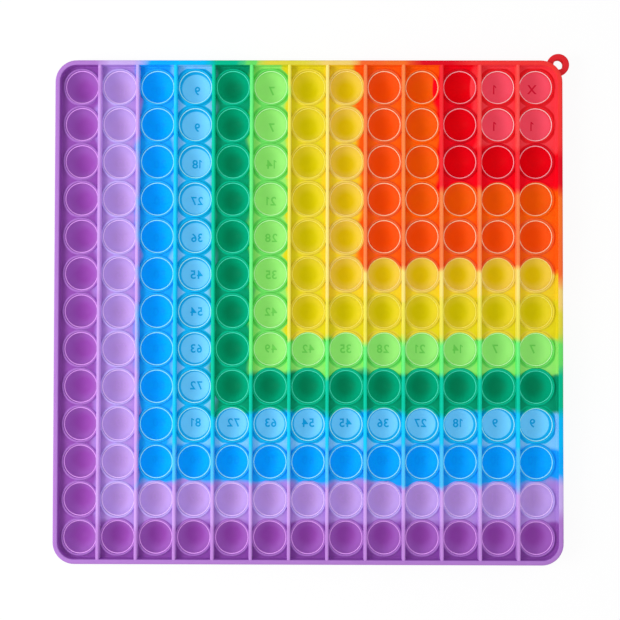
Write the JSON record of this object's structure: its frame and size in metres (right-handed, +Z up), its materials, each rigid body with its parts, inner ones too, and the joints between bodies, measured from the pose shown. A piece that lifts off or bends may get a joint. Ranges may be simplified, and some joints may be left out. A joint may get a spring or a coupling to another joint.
{
  "type": "pop bubble board",
  "caption": "Square moulded silicone pop board: bubbles in rainbow L-shaped bands push through from face to face, between ribs, inside a raised border with a corner hanging loop.",
  "frame": {"origin": "underside of the middle bubble, on the surface that the board lies on", "axes": "+Z up out of the open side of the bubbles, +Y towards the top edge, +X towards the edge with the hanging loop"},
  "size_m": [0.274, 0.2716, 0.0134],
  "materials": {
    "silicone_red": "satin",
    "silicone_orange": "satin",
    "silicone_yellow": "satin",
    "silicone_light_green": "satin",
    "silicone_green": "satin",
    "silicone_light_blue": "satin",
    "silicone_blue": "satin",
    "silicone_light_purple": "satin",
    "silicone_purple": "satin",
    "silicone_marbled": "satin"
  },
  "bodies": {
    "board": {"border_frame": "silicone_marbled", "hanging_loop": "silicone_red", "divider_ribs": "silicone_marbled", "floor_webs_00": "silicone_red", "floor_webs_01": "silicone_red", "floor_webs_02": "silicone_red", "floor_webs_03": "silicone_orange", "floor_webs_04": "silicone_orange", "floor_webs_05": "silicone_yellow", "floor_webs_06": "silicone_yellow", "floor_webs_07": "silicone_light_green", "floor_webs_08": "silicone_green", "floor_webs_09": "silicone_light_blue", "floor_webs_10": "silicone_blue", "floor_webs_11": "silicone_light_purple", "floor_webs_12": "silicone_purple", "bubble_collars_00": "silicone_red", "bubble_collars_01": "silicone_red", "bubble_collars_02": "silicone_red", "bubble_collars_03": "silicone_orange", "bubble_collars_04": "silicone_orange", "bubble_collars_05": "silicone_yellow", "bubble_collars_06": "silicone_yellow", "bubble_collars_07": "silicone_light_green", "bubble_collars_08": "silicone_green", "bubble_collars_09": "silicone_light_blue", "bubble_collars_10": "silicone_blue", "bubble_collars_11": "silicone_light_purple", "bubble_collars_12": "silicone_purple", "bubble_skirts_00": "silicone_red", "bubble_skirts_01": "silicone_red", "bubble_skirts_02": "silicone_red", "bubble_skirts_03": "silicone_orange", "bubble_skirts_04": "silicone_orange", "bubble_skirts_05": "silicone_yellow", "bubble_skirts_06": "silicone_yellow", "bubble_skirts_07": "silicone_light_green", "bubble_skirts_08": "silicone_green", "bubble_skirts_09": "silicone_light_blue", "bubble_skirts_10": "silicone_blue", "bubble_skirts_11": "silicone_light_purple", "bubble_skirts_12": "silicone_purple"},
    "pop_band_00": {"bubble_caps_00": "silicone_red"},
    "pop_band_01": {"bubble_caps_01": "silicone_red"},
    "pop_band_02": {"bubble_caps_02": "silicone_red"},
    "pop_band_03": {"bubble_caps_03": "silicone_orange"},
    "pop_band_04": {"bubble_caps_04": "silicone_orange"},
    "pop_band_05": {"bubble_caps_05": "silicone_yellow"},
    "pop_band_06": {"bubble_caps_06": "silicone_yellow"},
    "pop_band_07": {"bubble_caps_07": "silicone_light_green"},
    "pop_band_08": {"bubble_caps_08": "silicone_green"},
    "pop_band_09": {"bubble_caps_09": "silicone_light_blue"},
    "pop_band_10": {"bubble_caps_10": "silicone_blue"},
    "pop_band_11": {"bubble_caps_11": "silicone_light_purple"},
    "pop_band_12": {"bubble_caps_12": "silicone_purple"}
  },
  "joints": [
    {"name": "pop_00", "type": "slide", "parent": "board", "child": "pop_band_00", "axis": [0, 0, 1], "range_m": [0, 0.0133], "deforming": ["bubble_skirts_00"]},
    {"name": "pop_01", "type": "slide", "parent": "board", "child": "pop_band_01", "axis": [0, 0, 1], "range_m": [0, 0.0133], "deforming": ["bubble_skirts_01"]},
    {"name": "pop_02", "type": "slide", "parent": "board", "child": "pop_band_02", "axis": [0, 0, 1], "range_m": [0, 0.0133], "deforming": ["bubble_skirts_02"]},
    {"name": "pop_03", "type": "slide", "parent": "board", "child": "pop_band_03", "axis": [0, 0, 1], "range_m": [0, 0.0133], "deforming": ["bubble_skirts_03"]},
    {"name": "pop_04", "type": "slide", "parent": "board", "child": "pop_band_04", "axis": [0, 0, 1], "range_m": [0, 0.0133], "deforming": ["bubble_skirts_04"]},
    {"name": "pop_05", "type": "slide", "parent": "board", "child": "pop_band_05", "axis": [0, 0, 1], "range_m": [0, 0.0133], "deforming": ["bubble_skirts_05"]},
    {"name": "pop_06", "type": "slide", "parent": "board", "child": "pop_band_06", "axis": [0, 0, 1], "range_m": [0, 0.0133], "deforming": ["bubble_skirts_06"]},
    {"name": "pop_07", "type": "slide", "parent": "board", "child": "pop_band_07", "axis": [0, 0, 1], "range_m": [0, 0.0133], "deforming": ["bubble_skirts_07"]},
    {"name": "pop_08", "type": "slide", "parent": "board", "child": "pop_band_08", "axis": [0, 0, 1], "range_m": [0, 0.0133], "deforming": ["bubble_skirts_08"]},
    {"name": "pop_09", "type": "slide", "parent": "board", "child": "pop_band_09", "axis": [0, 0, 1], "range_m": [0, 0.0133], "deforming": ["bubble_skirts_09"]},
    {"name": "pop_10", "type": "slide", "parent": "board", "child": "pop_band_10", "axis": [0, 0, 1], "range_m": [0, 0.0133], "deforming": ["bubble_skirts_10"]},
    {"name": "pop_11", "type": "slide", "parent": "board", "child": "pop_band_11", "axis": [0, 0, 1], "range_m": [0, 0.0133], "deforming": ["bubble_skirts_11"]},
    {"name": "pop_12", "type": "slide", "parent": "board", "child": "pop_band_12", "axis": [0, 0, 1], "range_m": [0, 0.0133], "deforming": ["bubble_skirts_12"]}
  ]
}
